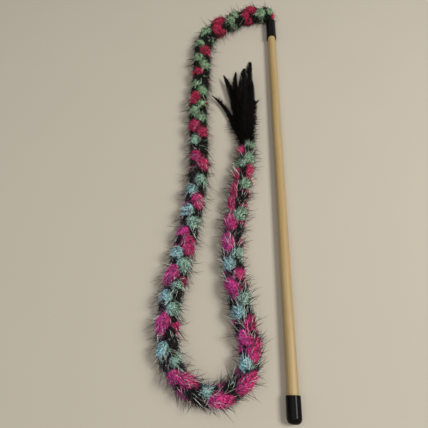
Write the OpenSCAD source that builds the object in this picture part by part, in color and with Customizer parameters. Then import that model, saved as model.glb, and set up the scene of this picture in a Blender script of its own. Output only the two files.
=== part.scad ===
// Cat teaser wand: a wooden rod with a vinyl cap at each end, a thick fluffy rope
// knotted inside the tip cap, and a fan of feathers bound into the rope's far end.
// The wand lies on a flat surface at z = 0, with the rod along Y and its tip at +Y.

/* [Rod] */
// Length of the wooden rod
rod_len = 457; // [300:1:700]
// Diameter of the wooden rod
rod_d = 9.5; // [8.5:0.5:14]
// Bevel at each end of the rod
rod_bevel = 0.6; // [0.2:0.1:1.4]

/* [Caps] */
// Wall of both caps
cap_wall = 1.3; // [0.8:0.1:2.4]
// Length of the grip cap over all
grip_cap_len = 21; // [14:1:60]
// Length of the tip cap over all
tip_cap_len = 32.5; // [24:0.5:60]
// Rounding of the grip cap's closed end, as a share of the cap's radius
cap_round_share = 0.75; // [0.45:0.05:0.95]
// Rounding of a cap's mouth, as a share of its wall
mouth_round_share = 0.4; // [0.1:0.1:0.5]
// Diameter of the hole punched in the end of the tip cap
tip_hole_d = 7; // [4:0.5:8]

/* [Rope] */
// Diameter of the plaited rope
rope_d = 19; // [14:1:24]
// Thickness of the rope's end where it lies over the feather binding, as a share of its diameter
rope_end_share = 0.86; // [0.7:0.02:1]
// Diameter of one turn of the gathered yarn in the knot
knot_yarn_d = 2.6; // [1.6:0.2:3.2]
// Turns in the knot
knot_turns = 3; // [2:1:5]

/* [Feathers] */
// Length of the longest feather beyond the binding
feather_len = 109; // [70:1:140]
// Width of the widest vane
vane_w = 14; // [6:0.5:16]
// Thickness of a vane along its shaft
vane_mid_t = 0.6; // [0.4:0.05:0.7]
// Thickness of a vane at its edges
vane_edge_t = 0.25; // [0.15:0.05:0.4]
// Diameter of a quill
quill_d = 1; // [0.8:0.1:1.4]
// Rise of the top feather over the length of the longest one
fan_rise = 20; // [12:1:40]

/* [Binding] */
// Diameter of the thread binding that holds the quills
binding_d = 12.6; // [11:0.2:15]
// Length of the thread binding
binding_len = 10; // [6:1:16]

/* [Hidden] */
// Gap all round between the rod and a cap's bore
cap_fit = 0.05;
// Flat left on the end of the tip cap round its hole
hole_land = 0.4;
// Gap all round between the gathered yarn and the hole that it passes
neck_fit = 0.1;
// Gap between the knot and the rod, the bore and the end of the tip cap
knot_fit = 0.3;
// Overlap of one turn of the knot with the next, as a share of the yarn's diameter
turn_overlap_share = 0.15;
// Gap all round between a quill and its hole
quill_fit = 0.05;
// Least wall of thread outside the quill holes
binding_wall = 1.05;
// Thread left behind the blind end of each quill hole
binding_floor = 1;
// Length of straight quill that stands out of the binding
quill_stub = 2;
// Length of bare quill between the binding and the vane
quill_bare = 6;
// Place in the straight quill where the bending one starts, as a share of its length
bend_start_share = 0.25;
// Thickness of the bending quill, as a share of the straight one's
bare_quill_share = 0.9;
// Width and thickness of a vane at its very tip, as shares of its own
tip_w_share = 0.06;
tip_t_share = 0.5;
// Overrun of a cut past the face that it opens
overrun = 1;

// Facets of the round pieces and of the rope, and steps along a vane
round_fn = 64;
small_fn = 32;
rope_sides = 10;
span_steps = 2;
vane_steps = 14;

// Radii and places that follow from the sizes above
rod_r = rod_d / 2;
bore_r = rod_r + cap_fit;
cap_r = bore_r + cap_wall;
grip_round = cap_r * cap_round_share;
tip_round = cap_r - tip_hole_d / 2 - hole_land;
mouth_round = cap_wall * mouth_round_share;

turn_pitch = knot_yarn_d * (1 - turn_overlap_share);
knot_len = knot_yarn_d + (knot_turns - 1) * turn_pitch;
knot_r = bore_r - knot_fit;
neck_r = tip_hole_d / 2 - neck_fit;
tip_seat = cap_wall + knot_len + 2 * knot_fit;

wand_len = grip_round + rod_len + tip_seat;
wand_z = cap_r;
grip_y = -wand_len / 2;
tip_y = wand_len / 2;
// The rod goes into the grip cap as far as its bore is straight
rod_y = grip_y + grip_round;

// The rope lies on one flat side of its tube
rope_r = rope_d / 2;
rope_z = rope_r * cos(180 / rope_sides);

// The rope's route on the surface, from the hole in the tip cap to the feather
// binding: places across and along the rod, measured from that hole
route_plan = [
    [0, 0], [0, 4], [-3, 8.5], [-9, 10.5], [-16, 9], [-24, 7.5], [-33, 6],
    [-48, -3.5], [-59, -10], [-70, -19], [-81, -34], [-86.5, -54], [-87.5, -80],
    [-87.5, -110], [-89, -143], [-88, -176], [-86, -205], [-84.5, -231],
    [-86, -257], [-88.5, -282], [-92, -306], [-96.5, -331], [-100.5, -353],
    [-104, -373], [-105, -391], [-104.5, -409], [-101, -424], [-93, -438],
    [-81, -448], [-67, -452.5], [-53, -449.5], [-41, -441], [-35, -428],
    [-35, -410], [-39.5, -390], [-47, -352], [-49.5, -320], [-43, -268],
    [-35.5, -223], [-34.5, -209],
];
route_last = len(route_plan) - 1;
// Point of the route by which the rope has sunk from the cap's height to its own
settle_point = 3;
// Spans over which the rope swells from the hole, and thins towards the binding
swell_spans = 3.2;
thin_spans = 2;

// The binding goes on straight from the end of the rope
rope_end = [route_plan[route_last].x, tip_y + route_plan[route_last].y, rope_z];
end_step = route_plan[route_last] - route_plan[route_last - 1];
lure_turn = atan2(-end_step.x, end_step.y);

// Each feather from the bottom of the bunch to its top: its length as a share of
// the longest, how far its tip swings to the right of the binding's line and how
// far it bows that way on the way there, as shares of its own length, and its
// width as a share of the widest
feather_shares = [
    [0.75, -0.56, 0.08, 0.45],
    [0.96, -0.34, 0.03, 0.85],
    [0.60, -0.28, 0.00, 1.00],
    [0.93, -0.21, -0.04, 0.80],
    [0.55, 0.12, 0.02, 0.90],
    [1.00, -0.05, -0.01, 1.00],
    [0.89, -0.08, -0.01, 1.00],
    [0.74, -0.18, -0.02, 1.00],
    [0.72, 0.02, 0.03, 0.90],
    [0.60, -0.08, 0.00, 1.00],
];
feather_count = len(feather_shares);
// Powers of the curves by which a feather swings out, bows and rises
swing_power = 0.85;
bow_power = 2;
rise_power = 2;
// Powers that shape a vane's outline from its root and towards its tip
root_power = 0.3;
tip_power = 0.6;

quill_ring_r = binding_d / 2 - binding_wall - quill_d / 2;
level_step = 2 * quill_ring_r / (feather_count - 1);
// Side to side spread of the quill holes, as a share of the room at their level
hole_spread_share = 0.5;

function feather_name(i) = str("feather_", i < 9 ? "0" : "", i + 1);

// Smooth step from 0 to 1
function ease(t) = let (s = min(1, max(0, t))) s * s * (3 - 2 * s);

function unit(v) = v / norm(v);

// A point of the route, with the rope sinking from the cap's height to its own.
// Places before the first and after the last carry the end spans straight on
function route_point(i) =
    i < 0 ? 2 * route_point(0) - route_point(1) :
    i > route_last ? 2 * route_point(route_last) - route_point(route_last - 1) :
    [
        route_plan[i].x,
        tip_y + route_plan[i].y,
        wand_z + (rope_z - wand_z) * ease((i - 1) / (settle_point - 1))
    ];

// Place and direction on the smooth curve through the route's points
function curve_at(i, t) =
    let (a = route_point(i - 1), b = route_point(i), c = route_point(i + 1), d = route_point(i + 2))
    b + (c - a) * t / 2 + (a - 5 / 2 * b + 2 * c - d / 2) * t * t
    + (3 * b - a - 3 * c + d) * t * t * t / 2;

function heading_at(i, t) =
    let (a = route_point(i - 1), b = route_point(i), c = route_point(i + 1), d = route_point(i + 2))
    unit((c - a) / 2 + (2 * a - 5 * b + 4 * c - d) * t + (3 * b - a - 3 * c + d) * 3 / 2 * t * t);

// The rope's radius: narrow in the hole, full along its length, thinner at the binding
function rope_radius(s) =
    let (swell = ease(s / swell_spans), thin = ease((route_last - s) / thin_spans))
    (neck_r + (rope_r - neck_r) * swell) * (rope_end_share + (1 - rope_end_share) * thin);

// A ring of points round a place on a path, level from side to side
function ring(centre, heading, outline) =
    let (side = unit(cross(heading, [0, 0, 1])), up = cross(side, heading))
    [for (p = outline) centre + side * p.x + up * p.y];

// A polygon with one flat side down
function round_outline(r, sides) =
    [for (k = [0 : sides - 1]) let (a = (k + 1 / 2) * 360 / sides - 90) r * [cos(a), sin(a)]];

// The cross-section of a vane: a flat lens with its shaft as the ridge
function vane_outline(w, mid_t, edge_t) = [
    [-w / 2, -edge_t / 2], [0, -mid_t / 2], [w / 2, -edge_t / 2],
    [w / 2, edge_t / 2], [0, mid_t / 2], [-w / 2, edge_t / 2],
];

// A closed skin over rings that follow each other
module skin(rings) {
    n = len(rings[0]);
    last = len(rings) - 1;
    sides = [
        for (i = [0 : last - 1], k = [0 : n - 1])
            let (a = i * n + k, b = i * n + (k + 1) % n)
            each [[a, b, b + n], [a, b + n, a + n]]
    ];
    start = [[for (k = [n - 1 : -1 : 0]) k]];
    finish = [[for (k = [0 : n - 1]) last * n + k]];
    polyhedron([for (r = rings) each r], concat(sides, start, finish), convexity = 8);
}

// Turns a shape that stands on Z to lie along +Y, at a given place on the rod's axis
module along_rod(y) {
    translate([0, y, wand_z])
        rotate([-90, 0, 0])
            children();
}

// Half of a round-ended outline: radius across, height up, closed end at 0
module round_end_half(r, h, corner) {
    translate([0, corner])
        square([r, h - corner]);
    square([r - corner, h]);
    intersection() {
        translate([r - corner, corner])
            circle(corner, $fn = round_fn);
        square([r, h]);
    }
}

// A pushed-on cap with its closed end at 0 and its mouth up
module cap_body(length, corner) {
    rotate_extrude($fn = round_fn)
        difference() {
            union() {
                round_end_half(cap_r, length - mouth_round, corner);
                translate([0, length - mouth_round])
                    square([cap_r - mouth_round, mouth_round]);
                intersection() {
                    translate([cap_r - mouth_round, length - mouth_round])
                        circle(mouth_round, $fn = small_fn);
                    square([cap_r, length]);
                }
            }
            translate([0, cap_wall])
                round_end_half(bore_r, length, corner - cap_wall);
        }
}

module rod() {
    color("burlywood")
        along_rod(rod_y)
            rotate_extrude($fn = round_fn)
                polygon([
                    [0, 0], [rod_r - rod_bevel, 0], [rod_r, rod_bevel],
                    [rod_r, rod_len - rod_bevel], [rod_r - rod_bevel, rod_len], [0, rod_len],
                ]);
}

module grip_cap() {
    color("black")
        along_rod(grip_y)
            cap_body(grip_cap_len, grip_round);
}

module tip_cap() {
    color("black")
        along_rod(tip_y)
            rotate([180, 0, 0])
                difference() {
                    cap_body(tip_cap_len, tip_round);
                    translate([0, 0, -overrun])
                        cylinder(h = cap_wall + 2 * overrun, d = tip_hole_d, $fn = small_fn);
                }
}

// The gathered yarn passes the hole in the tip cap and is wound round itself behind it
module tail_knot() {
    turn_r = knot_yarn_d / 2;
    color("dimgray")
        along_rod(tip_y)
            rotate([180, 0, 0]) {
                cylinder(h = cap_wall + knot_fit + turn_r, r = neck_r, $fn = small_fn);
                translate([0, 0, cap_wall + knot_fit + turn_r])
                    cylinder(h = knot_len - knot_yarn_d, r = knot_r - turn_r, $fn = small_fn);
                for (k = [0 : knot_turns - 1])
                    translate([0, 0, cap_wall + knot_fit + turn_r + k * turn_pitch])
                        rotate_extrude($fn = round_fn) {
                            translate([knot_r - turn_r, 0])
                                circle(turn_r, $fn = small_fn);
                            translate([0, -turn_r])
                                square([knot_r - turn_r, knot_yarn_d]);
                        }
            }
}

// One smooth tube along the whole route
module rope() {
    color("mediumvioletred")
        skin([
            for (i = [0 : route_last - 1], step = [0 : span_steps - 1])
                let (t = step / span_steps)
                ring(curve_at(i, t), heading_at(i, t), round_outline(rope_radius(i + t), rope_sides)),
            ring(
                route_point(route_last), heading_at(route_last, 0),
                round_outline(rope_radius(route_last), rope_sides)
            ),
        ]);
}

// Puts a shape where the rope ends, pointing the way the rope points
module at_lure() {
    translate(rope_end)
        rotate([0, 0, lure_turn])
            children();
}

// Where the quill of each feather sits in the binding, across and up: one level
// above the other, and left and right by turns
function quill_up(i) = (i - (feather_count - 1) / 2) * level_step;
function quill_side(i) =
    (i % 2 == 0 ? -1 : 1) * hole_spread_share
    * sqrt(max(0, quill_ring_r * quill_ring_r - quill_up(i) * quill_up(i)));

// Sideways bow along a feather, from 0 at both ends to 1 at its fullest
function bow_share(u) =
    let (peak = bow_power / (bow_power + 1))
    pow(u / peak, bow_power) * (1 - u) / (1 - peak);

// A feather's own length, and its shaft from the face of the binding to its tip
function shaft_len(i) = feather_len * feather_shares[i][0];
function shaft_at(i, u) =
    let (
        length = shaft_len(i),
        swing = feather_shares[i][1],
        bow = feather_shares[i][2],
        reach = length * sqrt(1 - swing * swing) * u,
        rise = fan_rise * i / (feather_count - 1)
    )
    [
        quill_side(i) + length * (swing * pow(u, swing_power) + bow * bow_share(u)),
        binding_len + reach,
        quill_up(i) + rise * pow(reach / feather_len, rise_power)
    ];

// Width of a vane along it, from 0 at its root to 1 at its fullest
function vane_share(t) =
    let (peak = root_power / (root_power + tip_power))
    pow(t / peak, root_power) * pow((1 - t) / (1 - peak), tip_power);

// A ring round a feather's shaft at u along it
function shaft_ring(i, u, outline) =
    let (step = 1 / feather_len)
    ring(shaft_at(i, u), unit(shaft_at(i, u + step) - shaft_at(i, max(0, u - step))), outline);

// The bare quill is as thick as it is wide
function quill_ring(i, reach) =
    let (d = quill_d * bare_quill_share)
    shaft_ring(i, reach / shaft_len(i), vane_outline(d, d, d / 2));

function vane_ring(i, t) =
    let (
        root = quill_bare / shaft_len(i),
        full = vane_w * feather_shares[i][3],
        least = quill_d * (1 - t) + full * tip_w_share * t,
        thin = 1 - (1 - tip_t_share) * t
    )
    shaft_ring(
        i, root + (1 - root) * t,
        vane_outline(max(least, full * vane_share(t)), vane_mid_t * thin, vane_edge_t * thin)
    );

module quill_binding() {
    hole_depth = binding_len - binding_floor;
    color("darkslategray")
        at_lure()
            difference() {
                rotate([-90, 0, 0])
                    cylinder(h = binding_len, d = binding_d, $fn = round_fn);
                for (i = [0 : feather_count - 1])
                    translate([quill_side(i), binding_floor, quill_up(i)])
                        rotate([-90, 0, 0])
                            cylinder(h = hole_depth + overrun, r = quill_d / 2 + quill_fit, $fn = small_fn);
            }
}

// A quill in its hole, which bends out of the binding and carries the vane
module feather(i) {
    color("black")
        at_lure() {
            translate([quill_side(i), binding_floor + quill_fit, quill_up(i)])
                rotate([-90, 0, 0])
                    cylinder(h = binding_len - binding_floor - quill_fit + quill_stub, d = quill_d, $fn = small_fn);
            skin([
                quill_ring(i, quill_stub * bend_start_share),
                quill_ring(i, quill_stub),
                quill_ring(i, (quill_stub + quill_bare) / 2),
                for (k = [0 : vane_steps]) vane_ring(i, k / vane_steps),
            ]);
        }
}

rod();
grip_cap();
tip_cap();
tail_knot();
rope();
quill_binding();
for (i = [0 : feather_count - 1])
    feather(i);
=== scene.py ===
"""Cat teaser wand: the looks of a wooden wand with vinyl caps, a fluffy plaited rope and
a bunch of cock hackles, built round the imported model. Lengths are in metres."""

import math

import bpy
import numpy as np
from mathutils import Matrix, Vector, noise


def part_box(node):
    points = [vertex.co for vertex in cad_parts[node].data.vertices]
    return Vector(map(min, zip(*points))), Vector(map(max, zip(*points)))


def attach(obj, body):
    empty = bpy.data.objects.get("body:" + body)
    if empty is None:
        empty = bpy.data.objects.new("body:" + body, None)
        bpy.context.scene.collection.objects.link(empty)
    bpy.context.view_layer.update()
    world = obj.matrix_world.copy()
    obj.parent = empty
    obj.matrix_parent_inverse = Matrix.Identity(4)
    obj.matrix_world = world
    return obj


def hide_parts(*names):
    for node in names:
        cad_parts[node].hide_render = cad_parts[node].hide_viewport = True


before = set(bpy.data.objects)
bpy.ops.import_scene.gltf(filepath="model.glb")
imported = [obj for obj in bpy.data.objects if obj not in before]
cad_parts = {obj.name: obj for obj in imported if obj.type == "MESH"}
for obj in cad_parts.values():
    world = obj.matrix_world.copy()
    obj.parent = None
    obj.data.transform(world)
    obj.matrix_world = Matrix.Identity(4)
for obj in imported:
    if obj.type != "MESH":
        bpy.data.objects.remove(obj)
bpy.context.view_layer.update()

bl_info = {
    "name": "Cat Teaser Wand",
    "version": (1, 0, 0),
    "blender": (4, 5, 0),
    "location": "View3D > Sidebar > Teaser",
    "description": "Dresses the cat teaser wand: rope, fibres, feathers, rod and caps",
    "category": "Object",
}

BODY = "root"

# The rod lies along Y, and the rope leaves a hole in the end of the tip cap
CAP_LOW, CAP_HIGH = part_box("tip_cap")
TIP_Y = CAP_HIGH.y
WAND_Z = (CAP_LOW.z + CAP_HIGH.z) / 2

# The rope's route and thickness, and the feathers' places and curves, are those of the CAD
# source, so that the looks lie where its solids are.
# The rope: thickness along its length, in the tip cap's hole and over the binding
ROPE_D = 0.019
ROPE_R = ROPE_D / 2
ROPE_SIDES = 10
ROPE_Z = ROPE_R * math.cos(math.pi / ROPE_SIDES)
NECK_R = 0.0034
END_SHARE = 0.86
SETTLE_POINT = 3
SWELL_SPANS = 3.2
THIN_SPANS = 2

# The rope's route from the hole in the tip cap to the binding, across and along the rod
ROUTE = (
    (0, 0), (0, 0.004), (-0.003, 0.0085), (-0.009, 0.0105), (-0.016, 0.009),
    (-0.024, 0.0075), (-0.033, 0.006), (-0.048, -0.0035), (-0.059, -0.010),
    (-0.070, -0.019), (-0.081, -0.034), (-0.0865, -0.054), (-0.0875, -0.080),
    (-0.0875, -0.110), (-0.089, -0.143), (-0.088, -0.176), (-0.086, -0.205),
    (-0.0845, -0.231), (-0.086, -0.257), (-0.0885, -0.282), (-0.092, -0.306),
    (-0.0965, -0.331), (-0.1005, -0.353), (-0.104, -0.373), (-0.105, -0.391),
    (-0.1045, -0.409), (-0.101, -0.424), (-0.093, -0.438), (-0.081, -0.448),
    (-0.067, -0.4525), (-0.053, -0.4495), (-0.041, -0.441), (-0.035, -0.428),
    (-0.035, -0.410), (-0.0395, -0.390), (-0.047, -0.352), (-0.0495, -0.320),
    (-0.043, -0.268), (-0.0355, -0.223), (-0.0345, -0.209),
)
ROUTE_LAST = len(ROUTE) - 1
# Samples of the smooth curve between two of the route's points
SPAN_STEPS = 24

# The plait, which the CAD doesn't have, shows one lobe of yarn after the other, right and
# left by turns. These are places along the rope and how many lobes lie before each
LOBE_PLACES = (
    0, 0.038, 0.178, 0.318, 0.389, 0.441, 0.507, 0.536, 0.556, 0.593, 0.681, 0.738, 0.809
)
LOBE_COUNTS = (-3, 0.5, 12.5, 26.5, 32.5, 37.5, 43.5, 46.5, 48.5, 51.5, 59.5, 65, 73.8)
STRANDS = 3
LOBES_PER_TURN = 6
# How the yarn's dyed stripes fall on the lobes, from the tip cap on: M and G for long
# stripes of magenta and mint green, m and g for short ones, D where the lobe stays dark
STRIPES = (
    "DgG MmgG MMGD gMGG mDgG MgGG MMGD mMDG GMGG mMGG MgGG MDGg mMDg MDMG MmmG GMmG "
    "gMDM GMDM GMMg GmG"
).replace(" ", "")

# The feathers: length of the longest, widest vane, quill, and the curves that all follow
FEATHER_LEN = 0.109
VANE_W = 0.014
QUILL_D = 0.001
FAN_RISE = 0.020
BINDING_D = 0.0126
BINDING_LEN = 0.010
BINDING_WALL = 0.00105
QUILL_BARE = 0.006
HOLE_SPREAD = 0.5
SWING_POWER = 0.85
BOW_POWER = 2
RISE_POWER = 2
ROOT_POWER = 0.3
TIP_POWER = 0.6
# Length, swing to the right, bow that way and width of each feather from the bottom of
# the bunch to its top, as shares of the longest, of its own length and of the widest
FEATHERS = (
    (0.75, -0.56, 0.08, 0.45),
    (0.96, -0.34, 0.03, 0.85),
    (0.60, -0.28, 0.00, 1.00),
    (0.93, -0.21, -0.04, 0.80),
    (0.55, 0.12, 0.02, 0.90),
    (1.00, -0.05, -0.01, 1.00),
    (0.89, -0.08, -0.01, 1.00),
    (0.74, -0.18, -0.02, 1.00),
    (0.72, 0.02, 0.03, 0.90),
    (0.60, -0.08, 0.00, 1.00),
)


def linear(hex_colour):
    """An sRGB colour such as #C9AF80 as linear red, green and blue."""
    parts = [int(hex_colour[i : i + 2], 16) / 255 for i in (1, 3, 5)]
    return tuple(p / 12.92 if p <= 0.04045 else ((p + 0.055) / 1.055) ** 2.4 for p in parts)


def number_prop(name, description, default, **more):
    """A number that a user may change."""
    return bpy.props.FloatProperty(
        name=name, description=description, default=default, min=0, **more
    )


def length_prop(name, description, default):
    """A length in metres that a user may change."""
    return number_prop(
        name, description, default, precision=5, subtype="DISTANCE", unit="LENGTH"
    )


def colour_prop(name, description, hex_colour):
    """A colour that a user may change."""
    return bpy.props.FloatVectorProperty(
        name=name,
        description=description,
        default=linear(hex_colour),
        size=3,
        min=0,
        max=1,
        subtype="COLOR",
    )


class TeaserRope(bpy.types.PropertyGroup):
    """Sizes and colours of the rope and its fibres"""

    strand_d: length_prop("Strand", "Thickness of one strand of the plait", 0.0098)
    side_reach: length_prop("Side reach", "How far a strand swings to each side", 0.0047)
    lift: length_prop("Lift", "How far a strand rises and sinks", 0.0038)
    # Each yarn and lash colour comes twice, as it looks under warmer light and under cooler light.
    # These are lit copies of one dye, blended by the yarn's cool attribute as painted light
    magenta: colour_prop("Magenta", "Magenta as lit by painted warmer light", "#D2395F")
    cool_lit_magenta: colour_prop("Cool magenta", "Magenta as lit by painted cooler light", "#D848A2")
    mint: colour_prop("Mint", "Mint green as lit by painted warmer light", "#A3C198")
    cool_lit_mint: colour_prop("Cool mint", "Mint green as lit by painted cooler light", "#A0CCD6")
    dark: colour_prop("Dark", "Dark yarn as lit by painted warmer light", "#1B1912")
    cool_lit_dark: colour_prop("Cool dark", "Dark yarn as lit by painted cooler light", "#1A171D")
    lash: colour_prop("Lash", "Eyelash fibres as lit by painted warmer light", "#24271B")
    cool_lit_lash: colour_prop("Cool lash", "Eyelash fibres as lit by painted cooler light", "#3F3B4E")
    # Pale eyelash fibres: shiny tinsel whose pale colour is partly a painted glint, a painted
    # highlight
    glint: colour_prop("Glint", "Pale shiny eyelash fibres", "#EBD9E2")
    fuzz_density: number_prop("Fuzz density", "Short fibres to a square metre", 9.0e5)
    lash_density: number_prop("Lash density", "Long fibres to a square metre", 1.2e5)


class TeaserFeathers(bpy.types.PropertyGroup):
    """Sizes and colours of the feathers and their binding"""

    barbs: bpy.props.IntProperty(
        name="Barbs", description="Barbs on each side of the longest feather", default=260, min=20
    )
    barb_w: length_prop("Barb width", "Width of one barb at its root", 0.0007)
    barb_t: length_prop("Barb thickness", "Thickness of one barb at its root", 0.00014)
    black: colour_prop("Hackle", "Dyed black of the feathers", "#080708")
    thread: colour_prop("Thread", "Thread of the binding", "#0E0F10")
    thread_d: length_prop("Thread thickness", "Thickness of the binding's thread", 0.00045)


class TeaserWand(bpy.types.PropertyGroup):
    """Colours of the rod and its caps"""

    wood: colour_prop("Wood", "Pale wood of the rod", "#B79D6C")
    grain: colour_prop("Grain", "Darker lines in the wood", "#9A7B47")
    vinyl: colour_prop("Vinyl", "Soft vinyl of the caps", "#0A0A0B")


class TeaserStage(bpy.types.PropertyGroup):
    """Floor, light and camera"""

    floor: colour_prop("Floor", "Pale floor", "#C2B9A8")
    sky: number_prop("Sky", "Strength of the light from all round", 0.24)
    key: number_prop("Key", "Power of the lamp on the right", 14.0, unit="POWER")
    fill: number_prop("Fill", "Power of the wide lamp overhead", 9.0, unit="POWER")
    lens: number_prop("Lens", "Focal length of the camera", 33.64, unit="CAMERA")


def feed(tree, node, values):
    """Sets inputs of a node, each to a plain value, a socket, or another node, whose first
    live output is taken. They go by their identifiers, or by their names if those differ."""
    for key, value in values.items():
        socket = next(s for s in node.inputs if key in (s.identifier, s.name))
        if isinstance(value, bpy.types.Node):
            value = next(s for s in value.outputs if s.enabled)
        if isinstance(value, bpy.types.NodeSocket):
            tree.links.new(value, socket)
        else:
            socket.default_value = value


def add(tree, kind, values=None, **settings):
    """Adds a node with its properties set and its inputs fed."""
    made = tree.nodes.new(kind)
    for name, value in settings.items():
        setattr(made, name, value)
    feed(tree, made, values or {})
    return made


def calc(tree, operation, *values, clamp=False):
    """A calculation on up to three numbers, such as MULTIPLY_ADD."""
    inputs = dict(zip(("Value", "Value_001", "Value_002"), values))
    return add(tree, "ShaderNodeMath", inputs, operation=operation, use_clamp=clamp)


def vector(tree, operation, *values):
    """A calculation on one or two vectors, such as ADD."""
    inputs = dict(zip(("Vector", "Vector_001"), values))
    return add(tree, "ShaderNodeVectorMath", inputs, operation=operation)


def times(tree, arrow, share):
    """A vector made longer or shorter."""
    return add(tree, "ShaderNodeVectorMath", {"Vector": arrow, "Scale": share}, operation="SCALE")


def rgba(colour):
    """A colour with its alpha, which is always 1."""
    return (*colour, 1)


def ease(t, low=0, high=1):
    """Smooth step from 0 at the low end to 1 at the high one."""
    t = np.clip((t - low) / (high - low), 0, 1)
    return t * t * (3 - 2 * t)


def unit(v):
    """Vectors of length 1."""
    return v / np.linalg.norm(v, axis=-1, keepdims=True)


def at_places(places, known, curve):
    """Points of a curve at other places along it than the known ones."""
    return np.column_stack([np.interp(places, known, column) for column in curve.T])


def route_points():
    """The route's points in the model's frame, with one more before and after, straight on."""
    plan = np.array(ROUTE, float)
    sunk = ease(np.arange(len(plan)), 1, SETTLE_POINT)
    points = np.column_stack([plan[:, 0], TIP_Y + plan[:, 1], WAND_Z + (ROPE_Z - WAND_Z) * sunk])
    first = 2 * points[0] - points[1]
    last = 2 * points[-1] - points[-2]
    return np.vstack([first, points, last])


def centreline(step):
    """Points at even steps along the rope's smooth route, the distance of each along it,
    and the rope's radius there."""
    points = route_points()
    spans = np.linspace(0, ROUTE_LAST, ROUTE_LAST * SPAN_STEPS + 1)
    i = np.minimum(spans.astype(int), ROUTE_LAST - 1)
    t = (spans - i)[:, None]
    a, b, c, d = (points[i + k] for k in range(4))
    curve = (
        b
        + (c - a) * t / 2
        + (a - 5 / 2 * b + 2 * c - d / 2) * t**2
        + (3 * b - a - 3 * c + d) * t**3 / 2
    )
    gone = np.concatenate([[0], np.cumsum(np.linalg.norm(np.diff(curve, axis=0), axis=1))])
    count = int(round(gone[-1] / step))
    s = np.linspace(0, gone[-1], count + 1)
    span = np.interp(s, gone, spans)
    swell = ease(span / SWELL_SPANS)
    thin = ease((ROUTE_LAST - span) / THIN_SPANS)
    radius = (NECK_R + (ROPE_R - NECK_R) * swell) * (END_SHARE + (1 - END_SHARE) * thin)
    return at_places(s, gone, curve), s, radius


def frames_along(points, upward=(0, 0, 1)):
    """Heading, right-hand side and upward direction at each point of a path."""
    heading = unit(np.gradient(points, axis=0))
    side = unit(np.cross(heading, upward))
    return heading, side, np.cross(side, heading)


def ring(sides):
    """The angles of the points round a tube."""
    return np.arange(sides) * 2 * math.pi / sides


def spokes(side, up, sides):
    """Directions from each point of a path to the points of a tube round it."""
    angle = ring(sides)[None, :, None]
    return np.cos(angle) * side[:, None] + np.sin(angle) * up[:, None]


def tube_faces(rings, sides):
    """Quads between rings of points, and a cap at each end."""
    i = np.repeat(np.arange(rings - 1), sides)
    k = np.tile(np.arange(sides), rings - 1)
    a = i * sides + k
    b = i * sides + (k + 1) % sides
    quads = np.column_stack([a, a + sides, b + sides, b]).tolist()
    first = list(range(sides))
    last = [(rings - 1) * sides + k for k in reversed(range(sides))]
    return [*quads, first, last]


def store(mesh, values):
    """Keeps each named array as an attribute of the mesh's vertices."""
    for name, array in values.items():
        flat = array.ndim == 1
        attribute = mesh.attributes.new(name, "FLOAT" if flat else "FLOAT_VECTOR", "POINT")
        numbers = np.ascontiguousarray(array, np.float32).ravel()
        attribute.data.foreach_set("value" if flat else "vector", numbers)


def new_object(name, mesh):
    """A new object in the scene, at the origin."""
    made = bpy.data.objects.new(name, mesh)
    bpy.context.scene.collection.objects.link(made)
    return made


def make_mesh(name, vertices, faces, material=None):
    """A smooth-shaded mesh from points and faces."""
    mesh = bpy.data.meshes.new(name)
    mesh.from_pydata(np.asarray(vertices).tolist(), [], faces)
    mesh.polygons.foreach_set("use_smooth", [True] * len(mesh.polygons))
    if material:
        mesh.materials.append(material)
    mesh.update()
    return mesh


def settle(piece, slot, *nodes):
    """Makes a finished piece ride and stand for its CAD nodes. The slot is not used."""
    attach(piece, BODY)
    if nodes:
        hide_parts(*nodes)


# Rings of one strand are this far apart, and have this many sides
STRAND_STEP = 0.0012
STRAND_SIDES = 16
# How far on in its turn the first strand starts, in turns
PLAIT_PHASE = 1 / 8
PLAIT_SEED = 11
# Half the length of a stripe on a lobe, in lobes, and how much the lobe swells there
STRIPE_HALF = {"M": 0.56, "m": 0.34, "G": 0.38, "g": 0.26}
STRIPE_SPREAD = 0.12
STRIPE_SWELL = {"M": 0.14, "m": 0.02, "G": 0.08, "g": 0.0}
STRIPE_EDGE = 0.5
SWELL_REACH = 1.25
DARK_SHRINK = 0.12
# The edge of a stripe is ragged: lumps of the noise move it, mint's more than magenta's
MOTTLE_LUMP = 0.0022
MOTTLE_MAGENTA = 0.5
MOTTLE_MINT = 0.9
MOTTLE_EDGE = 0.25
# Magenta stripes are longer from about this lobe on, on the rope's half near the grip
LONGER_FROM = 26
LONGER_TO = 36
LONGER_SHARE = 0.3
# Plies of the strand, which twist round each other, how deep the grooves between them are,
# and where the strand's own radius lies between groove, 0, and ply, 1
PLIES = 4
PLY_PITCH = 0.016
PLY_DEPTH = 0.06
PLY_LEVEL = 0.6
# The pattern of the yarn's fibres is moved by this much from strand to strand
LAY_SHIFT = 0.05
# Yarn is buried within this share of another strand's radius. Outside that, its fibres and its
# stripes begin where it faces away from the rope's middle, by the cosine. Where a strand faces the
# rope's middle its stripes give way to the dark colour, painted shade in the creases between the
# strands, and dark fuzz grows there
BURIED = 0.97
SHOWN_FROM = -0.1
SHOWN_FULL = 0.4
UNSHADED_FROM = 0.2
UNSHADED_FULL = 0.55
# Least height of the yarn over the floor
FLOOR_GAP = 0.0003
# Where along the rope its colours are tinted as under cooler light, painted light that is
# strongest on its -X side, and where the pale fibres grow more and the bristles fewer
COOL_FROM = 0.20
COOL_TO = 0.38
COOL_LIGHT_LEAST = 0.3
COOL_LIGHT_TURN = 0.75
FEW_GLINTS = 0.15
FEWER_BRISTLES = 0.3
# The plait is narrower round the bend of the loop
SLIM_FROM = 0.49
SLIM_TO = 0.59
SLIM_EDGE = 0.03
SLIM_SHARE = 0.25
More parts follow.
